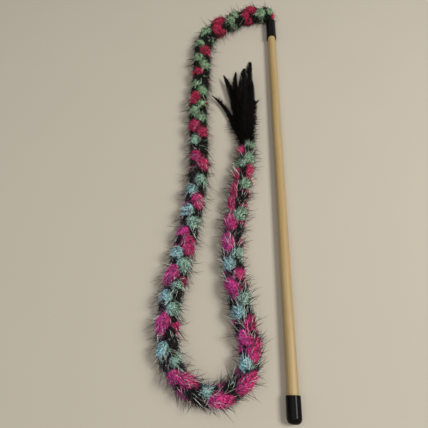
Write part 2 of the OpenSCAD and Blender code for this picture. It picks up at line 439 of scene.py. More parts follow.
# Towards the feathers the painted cooler light fades again, so the colours look warm again, and
# magenta keeps off the middle
LAST_RUN_FROM = 0.69
LAST_RUN_TO = 0.75
COOL_LIGHT_FADES = 0.7
OUTER_LEAST = 0.15
OUTER_FULL = 0.45
# One stray loop of magenta stands up beside the hole in the tip cap, on its +X side
STRAY_FROM = 0.001
STRAY_TO = 0.009
STRAY_RISE = 0.003
STRAY_FALL = 0.004
STRAY_SIDE = 0.0005
# The last stretch of the rope, where a tuft grows, and how softly the tuft begins
TUFT_LEN = 0.012
TUFT_EDGE = 0.008


def lobe_stripe(number):
    """The letter of the stripe that falls on a lobe."""
    place = math.floor(number) - LOBE_COUNTS[0]
    return STRIPES[min(max(place, 0), len(STRIPES) - 1)]


def stripe_weights(k, lobes, rng):
    """How magenta, how mint and how swollen strand k is, at each place along it."""
    weights = {"M": np.zeros_like(lobes), "G": np.zeros_like(lobes)}
    swell = np.full_like(lobes, -DARK_SHRINK)
    for back in (0, STRANDS / 2):
        first = math.floor((lobes[0] - k) / STRANDS) - 1
        last = math.ceil((lobes[-1] - k) / STRANDS) + 1
        for turn in range(first, last + 1):
            middle = k + back + STRANDS * turn
            letter = lobe_stripe(middle)
            if letter == "D":
                continue
            half = STRIPE_HALF[letter] * (1 + STRIPE_SPREAD * rng.uniform(-1, 1))
            if letter == "M":
                half *= 1 + LONGER_SHARE * ease(middle, LONGER_FROM, LONGER_TO)
            edge = (half + STRIPE_EDGE / 2 - np.abs(lobes - middle)) / STRIPE_EDGE
            dye = letter.upper()
            weights[dye] = np.maximum(weights[dye], ease(edge))
            bulge = np.clip(1 - ((lobes - middle) / (half * SWELL_REACH)) ** 2, 0, 1)
            swell = np.maximum(swell, -DARK_SHRINK + (STRIPE_SWELL[letter] + DARK_SHRINK) * bulge)
    weights["G"] *= 1 - weights["M"]
    return weights["M"], weights["G"], swell


def strand_paths(sizes):
    """The middle of the plait, and the path, radius and stripes of its three strands."""
    centre, s, radius = centreline(STRAND_STEP)
    _, side, up = frames_along(centre)
    scale = radius / ROPE_R
    bend = ease((s - SLIM_FROM) / SLIM_EDGE) * ease((SLIM_TO + SLIM_EDGE - s) / SLIM_EDGE)
    swing = sizes.side_reach * (1 - SLIM_SHARE * bend)
    lobes = np.interp(s, LOBE_PLACES, LOBE_COUNTS)
    rng = np.random.default_rng(PLAIT_SEED)
    strands = []
    for k in range(STRANDS):
        turn = 2 * math.pi * (lobes / LOBES_PER_TURN + k / STRANDS + PLAIT_PHASE)
        across = (swing * np.sin(turn))[:, None] * side
        rise = (sizes.lift * np.sin(2 * turn))[:, None] * up
        magenta, mint, swell = stripe_weights(k, lobes, rng)
        strand = {
            "path": centre + scale[:, None] * (across + rise),
            "radius": sizes.strand_d / 2 * scale * (1 + swell),
            "magenta": magenta,
            "mint": mint,
            "s": s,
        }
        strands.append(strand)
    return centre, strands


def strand_surface(k, strands, centre):
    """The points of strand k, with the heading, the dyes, painted shade where it faces the rope's
    middle, and the bareness of the yarn.
    """
    strand = strands[k]
    heading, side, up = frames_along(strand["path"])
    angle = ring(STRAND_SIDES)
    twist = 2 * math.pi * strand["s"] / PLY_PITCH
    ply = np.abs(np.cos((angle * PLIES + twist[:, None]) / 2)) - PLY_LEVEL
    r = strand["radius"][:, None] * (1 + PLY_DEPTH * ply)
    out = spokes(side, up, STRAND_SIDES)
    points = strand["path"][:, None] + r[..., None] * out
    outward = unit(points - centre[:, None])
    facing = np.sum(out * outward, axis=-1)
    hidden = np.zeros(r.shape, bool)
    for other in strands:
        if other is not strand:
            away = np.linalg.norm(points - other["path"][:, None], axis=-1)
            hidden |= away < other["radius"][:, None] * BURIED
    # Painted shade: the stripes give way to the dark colour where the strand faces the rope's
    # middle
    unshaded = ease(facing, UNSHADED_FROM, UNSHADED_FULL)
    s = np.broadcast_to(strand["s"][:, None], r.shape)
    lay = np.stack([r * np.cos(angle), r * np.sin(angle) + LAY_SHIFT * k, s], axis=-1)
    return {
        "points": points.reshape(-1, 3),
        "along": np.repeat(heading, STRAND_SIDES, axis=0),
        "lay": lay.reshape(-1, 3),
        "magenta": (strand["magenta"][:, None] * unshaded).ravel(),
        "mint": (strand["mint"][:, None] * unshaded).ravel(),
        "bare": (ease(facing, SHOWN_FROM, SHOWN_FULL) * ~hidden).ravel(),
        "left": -outward[..., 0].ravel(),
        "s": s.ravel(),
    }


def yarn_values(yarn):
    """What the materials and the fibres read: the finished dyes at each point, how far painted
    cooler light tints them, and where each kind of fibre grows."""
    mottle = np.array([noise.noise(Vector(point) / MOTTLE_LUMP) for point in yarn["points"]])
    magenta, mint = (
        ease((yarn[dye] + share * mottle - 0.5) / MOTTLE_EDGE + 0.5)
        for dye, share in (("magenta", MOTTLE_MAGENTA), ("mint", MOTTLE_MINT))
    )
    s = yarn["s"]
    stray = ease((s - STRAY_FROM) / STRAY_RISE) * ease((STRAY_TO - s) / STRAY_FALL)
    stray = stray * (yarn["points"][:, 0] > STRAY_SIDE)
    last_run = ease(s, LAST_RUN_FROM, LAST_RUN_TO)
    outer = ease(np.abs(yarn["left"]), OUTER_LEAST, OUTER_FULL)
    magenta = np.maximum(magenta, stray) * (1 - last_run * (1 - outer))
    dark = (1 - magenta) * (1 - mint)
    far = ease(s, COOL_FROM, COOL_TO)
    # Painted light: the colours are tinted as under cooler light on the rope's -X side and along
    # its far part, and less again on its last run
    cool = COOL_LIGHT_LEAST + (1 - COOL_LIGHT_LEAST) * ease(0.5 + COOL_LIGHT_TURN * yarn["left"])
    shown = yarn["bare"]
    return {
        "along": yarn["along"],
        "cool": cool * far * (1 - COOL_LIGHT_FADES * last_run),
        "lay": yarn["lay"],
        "magenta": magenta,
        "mint": mint,
        "grows_magenta": shown * magenta,
        "grows_mint": shown * mint,
        "grows_dark": shown * dark,
        "grows_lash": shown,
        "grows_bristle": shown * (1 - FEWER_BRISTLES * far),
        "grows_glint": shown * (FEW_GLINTS + (1 - FEW_GLINTS) * far),
        "grows_tuft": shown * ease((s - s.max() + TUFT_LEN) / TUFT_EDGE),
        "grows_neck": stray,
    }


def build_strands(sizes, material):
    """The three strands as one mesh, with what its fibres and its material read."""
    centre, strands = strand_paths(sizes)
    parts = [strand_surface(k, strands, centre) for k in range(STRANDS)]
    yarn = {name: np.concatenate([part[name] for part in parts]) for name in parts[0]}
    yarn["points"][:, 2] = np.maximum(yarn["points"][:, 2], FLOOR_GAP)
    faces = []
    for k in range(STRANDS):
        first = k * len(centre) * STRAND_SIDES
        faces += [[first + v for v in face] for face in tube_faces(len(centre), STRAND_SIDES)]
    mesh = make_mesh("rope_strands", yarn["points"], faces, material)
    store(mesh, yarn_values(yarn))
    return mesh


# Seeds of the draws that every fibre makes
SCATTER_SEED = 3
CURL_SEED = 7
LENGTH_SEED = 13
TONE_SEED = 29
# Points round one turn of the thread, round the thread itself and round the binding's core
COIL_SIDES = 40
THREAD_SIDES = 7
CORE_SIDES = 48


def new_tree(name, geometry, **values):
    """An empty Geometry Nodes tree and its inputs, by name: a geometry, values with their
    defaults, and a material."""
    tree = bpy.data.node_groups.new(name, "GeometryNodeTree")
    sockets = tree.interface
    sockets.new_socket("Geometry", in_out="OUTPUT", socket_type="NodeSocketGeometry")
    sockets.new_socket(geometry, in_out="INPUT", socket_type="NodeSocketGeometry")
    kinds = {float: "NodeSocketFloat", int: "NodeSocketInt", str: "NodeSocketString"}
    for label, default in values.items():
        made = sockets.new_socket(label, in_out="INPUT", socket_type=kinds[type(default)])
        made.default_value = default
    sockets.new_socket("Material", in_out="INPUT", socket_type="NodeSocketMaterial")
    return tree, add(tree, "NodeGroupInput").outputs


def close_tree(tree, inputs, geometry):
    """Ends a tree with plain geometry that has its material."""
    real = add(tree, "GeometryNodeRealizeInstances", {"Geometry": geometry})
    last = {"Geometry": real, "Material": inputs["Material"]}
    add(tree, "NodeGroupOutput", {"Geometry": add(tree, "GeometryNodeSetMaterial", last)})
    return tree


def shared_tree(name, make):
    """A tree of that name, made the first time that it is asked for."""
    return bpy.data.node_groups.get(name) or make()


def read(tree, name, kind="FLOAT"):
    """A named attribute of the geometry."""
    return add(tree, "GeometryNodeInputNamedAttribute", {"Name": name}, data_type=kind)


def keep(tree, geometry, name, value, kind="FLOAT"):
    """Stores a value at each point as a named attribute."""
    inputs = {"Geometry": geometry, "Name": name, "Value": value}
    return add(
        tree, "GeometryNodeStoreNamedAttribute", inputs, data_type=kind, domain="POINT"
    )


def combine(tree, x, y, z):
    """A vector from its three numbers."""
    return add(tree, "ShaderNodeCombineXYZ", {"X": x, "Y": y, "Z": z})


def move(tree, geometry, **to):
    """Geometry with its points at a new Position, or moved by an Offset."""
    return add(tree, "GeometryNodeSetPosition", {"Geometry": geometry, **to})


def is_more(tree, value):
    """Whether a number is more than 0."""
    inputs = {"A": value, "B": 0.0}
    return add(tree, "FunctionNodeCompare", inputs, data_type="FLOAT", operation="GREATER_THAN")


def draw(tree, low, high, seed):
    """A random number for each point."""
    inputs = {"Min_001": low, "Max_001": high, "Seed": seed}
    return add(tree, "FunctionNodeRandomValue", inputs, data_type="FLOAT")


def draw_vector(tree, seed):
    """A random vector for each point, from -1 to 1 in each direction."""
    inputs = {"Min": (-1, -1, -1), "Max": (1, 1, 1), "Seed": seed}
    return add(tree, "FunctionNodeRandomValue", inputs, data_type="FLOAT_VECTOR")


def join(tree, *parts):
    """Several geometries as one."""
    made = add(tree, "GeometryNodeJoinGeometry")
    for part in parts:
        tree.links.new(part.outputs[0], made.inputs[0])
    return made


def grow(name, source, tree, values):
    """Runs a tree on a mesh and returns a new object with the result as its plain mesh."""
    made = new_object(name, source)
    modifier = made.modifiers.new(tree.name, "NODES")
    modifier.node_group = tree
    for item in tree.interface.items_tree:
        if item.in_out == "INPUT" and item.name in values:
            modifier[item.identifier] = values[item.name]
    depsgraph = bpy.context.evaluated_depsgraph_get()
    result = bpy.data.meshes.new_from_object(
        made.evaluated_get(depsgraph), preserve_all_data_layers=True, depsgraph=depsgraph
    )
    made.modifiers.clear()
    made.data = result
    result.name = name
    for scratch in ("aim", "flat", "hair_len", "bend", "along"):
        if scratch in result.attributes:
            result.attributes.remove(result.attributes[scratch])
    return made


def hair_tree():
    """One tapered, bent hair on each point, from the point's aim, flat, hair_len and bend."""
    tree, inputs = new_tree(
        "tapered_hairs",
        "Points",
        Width=0.0003,
        Thickness=0.0003,
        Segments=2,
        Fullness=0.0,
        Floor=0.0002,
    )
    cone = add(
        tree,
        "GeometryNodeMeshCone",
        {
            "Vertices": 3,
            "Side Segments": inputs["Segments"],
            "Radius Top": 0.0,
            "Radius Bottom": 0.5,
            "Depth": 1.0,
        },
        fill_type="NGON",
    )
    place = add(tree, "GeometryNodeInputPosition")
    spot = add(tree, "ShaderNodeSeparateXYZ", {"Vector": place}).outputs
    reach = keep(tree, cone, "reach", spot["Z"])
    # The hair keeps its width longer where it is full: 1 + fullness * (t + t * t)
    square = calc(tree, "MULTIPLY_ADD", spot["Z"], spot["Z"], spot["Z"])
    wide = calc(tree, "MULTIPLY_ADD", square, inputs["Fullness"], 1.0)
    fuller = vector(tree, "MULTIPLY", place, combine(tree, wide, wide, 1.0))

    hair_len = read(tree, "hair_len")
    turn = add(
        tree,
        "FunctionNodeAxesToRotation",
        {
            "Primary Axis": read(tree, "aim", "FLOAT_VECTOR"),
            "Secondary Axis": read(tree, "flat", "FLOAT_VECTOR"),
        },
        primary_axis="Z",
        secondary_axis="X",
    )
    hairs = add(
        tree,
        "GeometryNodeInstanceOnPoints",
        {
            "Points": inputs["Points"],
            "Selection": is_more(tree, hair_len),
            "Instance": move(tree, reach, Position=fuller),
            "Rotation": turn,
            "Scale": combine(tree, inputs["Width"], inputs["Thickness"], hair_len),
        },
    )
    real = add(tree, "GeometryNodeRealizeInstances", {"Geometry": hairs})
    along = read(tree, "reach")
    bowed = calc(tree, "MULTIPLY", along, along)
    bent = move(tree, real, Offset=times(tree, read(tree, "bend", "FLOAT_VECTOR"), bowed))
    high = calc(tree, "MAXIMUM", spot["Z"], inputs["Floor"])
    on_floor = move(tree, bent, Position=combine(tree, spot["X"], spot["Y"], high))
    smooth = add(tree, "GeometryNodeSetShadeSmooth", {"Geometry": on_floor})
    return close_tree(tree, inputs, smooth)


def add_hairs(tree, inputs, **own):
    """The tree of tapered hairs as a node, fed with the inputs that both trees have."""
    hairs = add(tree, "GeometryNodeGroup", node_tree=shared_tree("tapered_hairs", hair_tree))
    both = {socket.name: inputs[socket.name] for socket in hairs.inputs if socket.name in inputs}
    feed(tree, hairs, {**both, **own})
    return hairs


def fibre_tree():
    """Fibres that stand on the yarn, lean along it, scatter, curl and droop."""
    tree, inputs = new_tree(
        "yarn_fibres",
        "Yarn",
        Cover="grows_lash",
        Density=1.0e5,
        Shortest=0.002,
        Longest=0.004,
        Width=0.0003,
        Fullness=0.7,
        Segments=2,
        Stand=1.0,
        Lean=0.5,
        Scatter=0.4,
        Curl=0.2,
        Droop=0.1,
        Floor=0.0002,
        Seed=1,
    )
    dense = calc(tree, "MULTIPLY", read(tree, inputs["Cover"]), inputs["Density"])
    roots = add(
        tree,
        "GeometryNodeDistributePointsOnFaces",
        {"Mesh": inputs["Yarn"], "Density": dense, "Seed": inputs["Seed"]},
        distribute_method="RANDOM",
    )
    along = read(tree, "along", "FLOAT_VECTOR")
    stand = times(tree, roots.outputs["Normal"], inputs["Stand"])
    lean = times(tree, along, inputs["Lean"])
    scatter = times(tree, draw_vector(tree, SCATTER_SEED), inputs["Scatter"])
    loose = vector(tree, "ADD", vector(tree, "ADD", stand, lean), scatter)
    hair_len = draw(tree, inputs["Shortest"], inputs["Longest"], LENGTH_SEED)
    curl = times(tree, draw_vector(tree, CURL_SEED), inputs["Curl"])
    down = times(tree, (0, 0, -1), inputs["Droop"])
    bend = times(tree, vector(tree, "ADD", curl, down), hair_len)
    kept = roots.outputs["Points"]
    for name, kind, value in (
        ("aim", "FLOAT_VECTOR", vector(tree, "NORMALIZE", loose)),
        ("flat", "FLOAT_VECTOR", along),
        ("hair_len", "FLOAT", hair_len),
        ("bend", "FLOAT_VECTOR", bend),
        ("tone", "FLOAT", draw(tree, 0.0, 1.0, TONE_SEED)),
    ):
        kept = keep(tree, kept, name, value, kind)
    hairs = add_hairs(tree, inputs, Points=kept, Thickness=inputs["Width"])
    return close_tree(tree, inputs, hairs)


def vane_tree():
    """Barbs on the loose points of a feather, joined to its shaft."""
    tree, inputs = new_tree(
        "feather_barbs",
        "Feather",
        Width=0.0006,
        Thickness=0.00014,
        Fullness=0.8,
        Segments=4,
        Floor=0.0002,
    )
    hairs = add_hairs(tree, inputs, Points=inputs["Feather"])
    shaft = add(
        tree,
        "GeometryNodeDeleteGeometry",
        {"Geometry": inputs["Feather"], "Selection": is_more(tree, read(tree, "hair_len"))},
        domain="POINT",
    )
    return close_tree(tree, inputs, join(tree, shaft, hairs))


def whipping_tree():
    """A cord core with one layer of thread wound tightly round it, along +Z."""
    tree, inputs = new_tree(
        "thread_whipping", "Geometry", Radius=0.0063, Length=0.010, Thread=0.00045
    )
    half = calc(tree, "MULTIPLY", inputs["Thread"], 0.5)
    middle = calc(tree, "SUBTRACT", inputs["Radius"], half)
    coil = add(
        tree,
        "GeometryNodeCurveSpiral",
        {
            "Resolution": COIL_SIDES,
            "Rotations": calc(tree, "DIVIDE", inputs["Length"], inputs["Thread"]),
            "Start Radius": middle,
            "End Radius": middle,
            "Height": calc(tree, "SUBTRACT", inputs["Length"], inputs["Thread"]),
        },
    )
    profile = {"Resolution": THREAD_SIDES, "Radius": half}
    profile = add(tree, "GeometryNodeCurvePrimitiveCircle", profile)
    thread = {"Curve": coil, "Profile Curve": profile, "Fill Caps": True}
    thread = add(tree, "GeometryNodeCurveToMesh", thread)
    core = add(
        tree,
        "GeometryNodeMeshCylinder",
        {"Vertices": CORE_SIDES, "Radius": middle, "Depth": inputs["Length"]},
        fill_type="TRIANGLE_FAN",
    )
    centre = calc(tree, "MULTIPLY", inputs["Length"], 0.5)
    raised, stood = (
        add(
            tree,
            "GeometryNodeTransform",
            {"Geometry": part, "Translation": combine(tree, 0.0, 0.0, height)},
        )
        for part, height in ((thread, half), (core, centre))
    )
    return close_tree(tree, inputs, join(tree, raised, stood))


def new_material(name):
    """An empty material, and its tree."""
    material = bpy.data.materials.new(name)
    material.use_nodes = True
    material.node_tree.nodes.clear()
    return material, material.node_tree


def surface(material, values):
    """Gives a material its surface shader, with links or uniform values on its sockets."""
    shader = add(material.node_tree, "ShaderNodeBsdfPrincipled", values)
    add(material.node_tree, "ShaderNodeOutputMaterial", {"Surface": shader})
    return material


def carried(tree, name):
    """A value that the mesh carries at each point."""
    return add(tree, "ShaderNodeAttribute", attribute_name=name).outputs["Fac"]


def drawn_out(tree, place, scale):
    """Coordinates for a pattern that is drawn out where the scale is less than 1."""
    return add(tree, "ShaderNodeMapping", {"Vector": place, "Scale": scale})


def lumps(tree, place, size, detail, **more):
    """Noise in lumps of some size."""
    inputs = {"Vector": place, "Scale": 1 / size, "Detail": detail, **more}
    return add(tree, "ShaderNodeTexNoise", inputs)


def object_place(tree):
    """The Object coordinates, in metres."""
    return add(tree, "ShaderNodeTexCoord").outputs["Object"]


def spread(tree, value, to, over=(0.0, 1.0), **settings):
    """Takes a value from the range that it runs over to another range."""
    inputs = dict(zip(("From Min", "From Max", "To Min", "To Max"), (*over, *to)))
    return add(tree, "ShaderNodeMapRange", {"Value": value, **inputs}, **settings)


def mix(tree, share, first, second):
    """A colour between two others."""
    inputs = {"Factor_Float": share, "A_Color": first, "B_Color": second}
    return add(tree, "ShaderNodeMix", inputs, data_type="RGBA")


def shade(tree, colour, value, **more):
    """A colour made lighter or darker."""
    return add(tree, "ShaderNodeHueSaturation", {"Color": colour, "Value": value, **more})


def bump(tree, height, strength, distance):
    """Small lumps on a surface, as high as the distance."""
    inputs = {"Height": height, "Strength": strength, "Distance": distance}
    return add(tree, "ShaderNodeBump", inputs)


def tint_by_painted_light(tree, warm, cool):
    """A colour between its warm-lit and its cool-lit copy, set by the yarn's own cool attribute: a
    painted tint of the light, not of the dye.
    """
    return mix(tree, carried(tree, "cool"), rgba(warm), rgba(cool))


def striped_yarn_material(sizes, name, depth, roughness, sheen, tip_highlight):
    """Brushed acrylic yarn in stretches of magenta, mint and near black from space dyeing: matt
    and soft. Fibre ends are painted lighter, a painted highlight, and roots stay darker, painted
    shade. The stripes come with the yarn as attributes."""
    material, tree = new_material(name)
    place = object_place(tree)
    # Flecks of 1.2 mm make the edges of a stripe ragged
    fleck = lumps(tree, place, 0.0012, 2.0)
    # Each colour is tinted between its warm-lit and cool-lit copy, as painted light
    colour = tint_by_painted_light(tree, sizes.dark, sizes.cool_lit_dark)
    for stripe, warm, cool in (
        ("mint", sizes.mint, sizes.cool_lit_mint),
        ("magenta", sizes.magenta, sizes.cool_lit_magenta),
    ):
        ragged = calc(tree, "MULTIPLY_ADD", fleck, 0.35, carried(tree, stripe))
        edge = spread(tree, ragged, (0, 1), (0.5, 0.85), interpolation_type="SMOOTHSTEP")
        colour = mix(tree, edge, colour, tint_by_painted_light(tree, warm, cool))
    # Locks of 1.5 mm and single fibres differ in how much dye they took, and each fibre is painted
    # lighter towards its tip, a painted highlight, with its root darker, painted shade
    locks = spread(tree, lumps(tree, place, 0.0015, 1.0), (0, 0.9), (0.36, 0.64))
    uneven = calc(tree, "MULTIPLY_ADD", carried(tree, "tone"), 0.7, locks)
    level = calc(tree, "ADD", uneven, depth)
    tip_lit_level = calc(tree, "MULTIPLY_ADD", carried(tree, "reach"), tip_highlight, level)
    # Fibres up to 0.5 mm wide lie along the strand: the noise is drawn out tenfold that way
    lay = add(tree, "ShaderNodeAttribute", attribute_name="lay").outputs["Vector"]
    fibres = lumps(tree, drawn_out(tree, lay, (1, 1, 0.1)), 0.0005, 2.0)
    values = {
        "Base Color": shade(tree, colour, tip_lit_level),
        "Normal": bump(tree, fibres, 0.6, 0.0004),
        "Roughness": roughness,
        "Sheen Weight": sheen,
        "Sheen Roughness": 0.4,
        "IOR": 1.5,
        "Specular IOR Level": 0.15,
    }
    return surface(material, values)


def filament_material(name, warm, cool, roughness, specular):
    """Polyester eyelash filament: thin flat film that glints. Each one has its own tone."""
    material, tree = new_material(name)
    tone = carried(tree, "tone")
    level = spread(tree, tone, (0.5, 1.7))
    hue = spread(tree, tone, (0.42, 0.95))
    # The colour is tinted between its warm-lit and cool-lit copy, as painted light
    values = {
        "Base Color": shade(tree, tint_by_painted_light(tree, warm, cool), level, Hue=hue),
        "Roughness": roughness,
        "IOR": 1.58,
        "Specular IOR Level": specular,
    }
    return surface(material, values)


def wood_material(sizes):
    """Sanded ramin dowel: pale straight-grained wood, unvarnished, with fine pores."""
    material, tree = new_material("sanded_ramin")
    # Growth bands some 2 mm wide and pores 0.4 mm wide, both drawn out along the rod
    place = object_place(tree)
    band = lumps(tree, drawn_out(tree, place, (1, 0.025, 1)), 0.002, 3.0, Roughness=0.55)
    pore = lumps(tree, drawn_out(tree, place, (1, 0.05, 1)), 0.0004, 2.0)
    bands = spread(tree, band, (0, 0.55), (0.35, 0.72))
    pores = spread(tree, pore, (0, 0.5), (0.58, 0.75))
    share = calc(tree, "ADD", bands, pores, clamp=True)
    values = {
        "Base Color": mix(tree, share, rgba(sizes.wood), rgba(sizes.grain)),
        "Roughness": spread(tree, band, (0.42, 0.62)),
        "Normal": bump(tree, pore, 0.25, 0.00005),
        "IOR": 1.5,
    }
    return surface(material, values)


def vinyl_material(sizes):
    """Dip-moulded PVC: soft black vinyl, glossy, faintly wavy, dulled where it is handled."""
    material, tree = new_material("dipped_vinyl")
    place = object_place(tree)
    wave = lumps(tree, place, 0.003, 1.0)
    scuff = lumps(tree, place, 0.0012, 4.0)
    dust = spread(tree, scuff, (0, 0.15), (0.5, 0.8))
    values = {
        "Base Color": mix(tree, dust, rgba(sizes.vinyl), rgba(linear("#1A1A1B"))),
        "Roughness": spread(tree, scuff, (0.14, 0.3), (0.35, 0.7)),
        "Normal": bump(tree, wave, 0.3, 0.0002),
        "IOR": 1.53,
        "Specular IOR Level": 0.07,
    }
    return surface(material, values)


def hackle_material(sizes):
    """Dyed cock hackle: black keratin with a soft sheen, brownish where the dye is thin."""
    material, tree = new_material("dyed_hackle")
    tone = carried(tree, "tone")
    thin = calc(tree, "MULTIPLY", tone, carried(tree, "reach"))
    values = {
        "Base Color": mix(tree, thin, rgba(sizes.black), rgba(linear("#17110F"))),
        "Roughness": spread(tree, tone, (0.38, 0.6)),
        "IOR": 1.55,
        "Specular IOR Level": 0.06,
    }
    return surface(material, values)


def thread_material(sizes):
    """Waxed polyester thread: dark and slightly shiny, with a fine twist."""
    material, tree = new_material("waxed_thread")
    twist = lumps(tree, object_place(tree), 0.0004, 2.0)
    values = {
        "Base Color": shade(tree, rgba(sizes.thread), spread(tree, twist, (0.6, 1.5))),
        "Normal": bump(tree, twist, 0.5, 0.0001),
        "Roughness": 0.5,
        "IOR": 1.5,
    }
    return surface(material, values)


def floor_material(colour):
    """Matt pale paper backdrop, with a soft unevenness of some 10 cm."""
    material, tree = new_material("paper_floor")
    light = spread(tree, lumps(tree, object_place(tree), 0.1, 1.0), (0.985, 1.015))
    values = {
        "Base Color": shade(tree, rgba(colour), light),
        "Roughness": 0.9,
        "Specular IOR Level": 0.1,
    }
    return surface(material, values)


# Camera place and angles, found from the rod's outline in the photograph
CAMERA_PLACE = (-0.0633, -0.2329, 0.3596)
CAMERA_DOWN = 62.81
CAMERA_LEFT = 1.364
SENSOR_W = 36
NEAREST = 0.01
FLOOR_SIZE = 8.0
# Each lamp: name, the stage's setting for its power, place and size
LAMPS = (
    ("window_light", "key", (0.78, -0.12, 1.20), 0.45),
    ("overhead_light", "fill", (-0.55, -0.45, 1.65), 1.5),
)
LAMP_AIM = (-0.05, 0, 0)


def make_world(look):
    """Even light from all round, which is the floor's colour where it is looked at."""
    world = bpy.data.worlds.new("studio")
    world.use_nodes = True
    tree = world.node_tree
    tree.nodes.clear()
    rays = add(tree, "ShaderNodeLightPath").outputs
    shiny = calc(tree, "ADD", rays["Is Glossy Ray"], rays["Is Transmission Ray"])
    seen = calc(tree, "ADD", rays["Is Camera Ray"], shiny, clamp=True)
    sky = add(tree, "ShaderNodeBackground", {"Color": (1, 1, 1, 1), "Strength": look.sky})
    wall = add(tree, "ShaderNodeBackground", {"Color": rgba(look.floor), "Strength": 1.0})
    mixed = add(tree, "ShaderNodeMixShader", {"Fac": seen, "Shader": sky, "Shader_001": wall})
    add(tree, "ShaderNodeOutputWorld", {"Surface": mixed})
    return world


def make_lamp(name, power, place, size):
    """A square lamp that looks at the middle of the wand."""
    lamp = bpy.data.lights.new(name, "AREA")
    lamp.shape = "SQUARE"
    lamp.size = size
    lamp.energy = power
    light = new_object(name, lamp)
    light.location = place
    towards = np.array(LAMP_AIM) - np.array(place)
    turn = math.atan2(towards[1], towards[0])
    tilt = math.atan2(math.hypot(towards[0], towards[1]), -towards[2])
    light.rotation_euler = (tilt, 0, turn - math.pi / 2)


def make_camera(focal):
    """The camera, at the photograph's place and angles."""
    lens = bpy.data.cameras.new("camera")
    lens.lens = focal
    lens.sensor_width = SENSOR_W
    lens.clip_start = NEAREST
    camera = new_object("camera", lens)
    camera.location = CAMERA_PLACE
    camera.rotation_euler = (math.radians(90 - CAMERA_DOWN), 0, math.radians(CAMERA_LEFT))
    return camera


class TEASER_OT_stage(bpy.types.Operator):
    """Set up the pale floor, the soft light and the camera"""

    bl_idname = "teaser.stage"
    bl_label = "Stage"

    def execute(self, context):
        look = context.scene.teaser_stage
        half = FLOOR_SIZE / 2
        corners = [(-half, -half, 0), (half, -half, 0), (half, half, 0), (-half, half, 0)]
        mesh = make_mesh("floor", corners, [(0, 1, 2, 3)], floor_material(look.floor))
        new_object("floor", mesh)
        context.scene.world = make_world(look)
        for name, power, place, size in LAMPS:
            make_lamp(name, getattr(look, power), place, size)
        context.scene.camera = make_camera(look.lens)
        context.scene.view_settings.view_transform = "Standard"
        return {"FINISHED"}


class TEASER_OT_rope(bpy.types.Operator):
    """Plait the rope from three strands of striped yarn"""

    bl_idname = "teaser.rope"
    bl_label = "Rope"

    def execute(self, context):
        sizes = context.scene.teaser_rope
        yarn = striped_yarn_material(
            sizes, "brushed_striped_yarn", depth=0.2, roughness=0.85, sheen=0.05, tip_highlight=0.0
        )
        mesh = build_strands(sizes, yarn)
        settle(new_object("rope_strands", mesh), "rope_yarn", "rope")
        return {"FINISHED"}


# Each row is one piece of fibres: its name, where it grows, its share of the density, its
# shortest and longest fibre, their width, and how they stand, lean, scatter, curl and droop
FIBRE_INPUTS = (
    "Cover", "Density", "Shortest", "Longest", "Width", "Stand", "Lean", "Scatter", "Curl", "Droop"
)
# The fuzz of the yarn, in its three colours
FUZZ = (
    ("rope_fuzz_magenta", "grows_magenta", 0.8, 0.0018, 0.0040, 0.00038, 0.5, 0.9, 0.5, 0.3, 0.0),
    ("rope_fuzz_mint", "grows_mint", 0.9, 0.0018, 0.0040, 0.00038, 0.5, 0.9, 0.5, 0.3, 0.0),
    ("rope_fuzz_dark", "grows_dark", 0.5, 0.0018, 0.0040, 0.00036, 0.7, 0.6, 0.7, 0.3, 0.0),
)
# The eyelash fibres, long and short, dark and pale. The pale ones are shiny tinsel, their pale
# colour partly a painted glint, and they grow more on the rope's far part, where light catches
# them
LASHES = (
    ("rope_lashes", "grows_lash", 0.45, 0.008, 0.0130, 0.00055, 0.80, 0.6, 0.5, 0.45, 0.22),
    ("rope_bristles", "grows_bristle", 0.80, 0.003, 0.0070, 0.00040, 0.6, 0.7, 0.7, 0.5, 0.05),
    ("rope_flecks", "grows_bristle", 1.20, 0.0025, 0.005, 0.00055, 0.2, 1.0, 0.7, 0.3, 0.00),
    ("rope_glints", "grows_glint", 0.45, 0.006, 0.012, 0.00036, 0.40, 0.9, 0.5, 0.40, 0.10),
)
# The yarn's loose ends at the binding, and the stray loop at the tip cap
TUFTS = (
    ("rope_end_tuft", "grows_tuft", 1.2, 0.004, 0.009, 0.00040, 0.30, 1.0, 0.30, 0.2, 0.05),
    ("rope_neck_tuft", "grows_neck", 3.0, 0.003, 0.007, 0.00036, 0.5, 1.0, 0.4, 0.3, 0.0),
)
FUZZ_SEED = 21
LASH_SEED = 41
TUFT_SEED = 61


def grow_fibres(rows, source, materials, density, seed, segments, slot="rope_yarn"):
    """One piece of fibres on a mesh for each row, each with its own seed."""
    tree = shared_tree("yarn_fibres", fibre_tree)
    for n, (name, *row) in enumerate(rows):
        values = dict(zip(FIBRE_INPUTS, row))
        values["Density"] *= density
        values.update({"Segments": segments, "Seed": seed + n, "Material": materials[n]})
        settle(grow(name, source, tree, values), slot)


class TEASER_OT_fibres(bpy.types.Operator):
    """Grow the fuzz, the eyelash fibres and the tufts on the rope"""

    bl_idname = "teaser.fibres"
    bl_label = "Fibres"

    def execute(self, context):
        sizes = context.scene.teaser_rope
        fuzz = striped_yarn_material(
            sizes, "brushed_yarn_fuzz", depth=0.3, roughness=0.8, sheen=0.04, tip_highlight=0.6
        )
        lash = filament_material(
            "eyelash_filament", sizes.lash, sizes.cool_lit_lash, roughness=0.35, specular=0.2
        )
        glint = filament_material(
            "pearly_filament", sizes.glint, sizes.glint, roughness=0.25, specular=0.7
        )
        yarn = bpy.data.objects["rope_strands"].data
        lashes = (lash, lash, lash, glint)
        grow_fibres(FUZZ, yarn, [fuzz] * 3, sizes.fuzz_density, FUZZ_SEED, segments=2)
        grow_fibres(LASHES, yarn, lashes, sizes.lash_density, LASH_SEED, segments=3)
        grow_fibres(TUFTS, yarn, [fuzz] * 2, sizes.fuzz_density, TUFT_SEED, segments=3)
        return {"FINISHED"}


